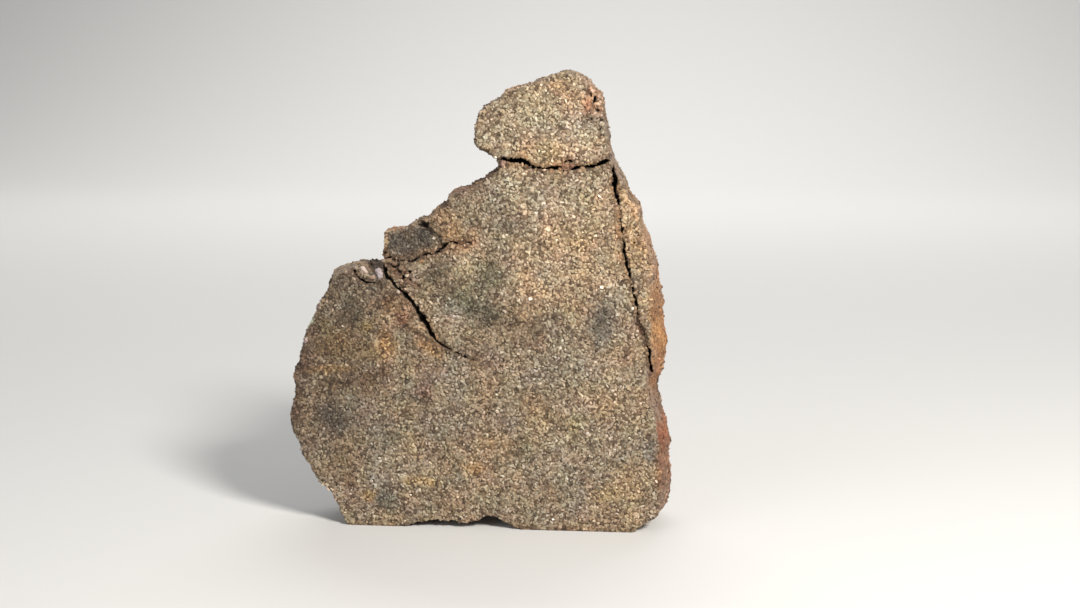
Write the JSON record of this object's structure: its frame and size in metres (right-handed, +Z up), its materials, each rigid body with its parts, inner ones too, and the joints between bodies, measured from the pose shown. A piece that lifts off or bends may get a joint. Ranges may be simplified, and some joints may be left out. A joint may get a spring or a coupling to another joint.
{
  "type": "meteorite slab",
  "caption": "Thick sawn slab of a weathered stone meteorite with a sandy, cracked face and a rusty natural rim, standing on its lower edge.",
  "frame": {"origin": "middle of the base, half way between the left and right limits and between the two sawn faces", "axes": "+X to the right as seen from the front sawn face, +Y from the front sawn face to the back one, +Z up"},
  "size_m": [0.0366, 0.0086, 0.0429],
  "materials": {
    "weathered_stone": "matte, granular"
  },
  "bodies": {
    "root": {"winonaite_slab": "weathered_stone"}
  },
  "joints": []
}
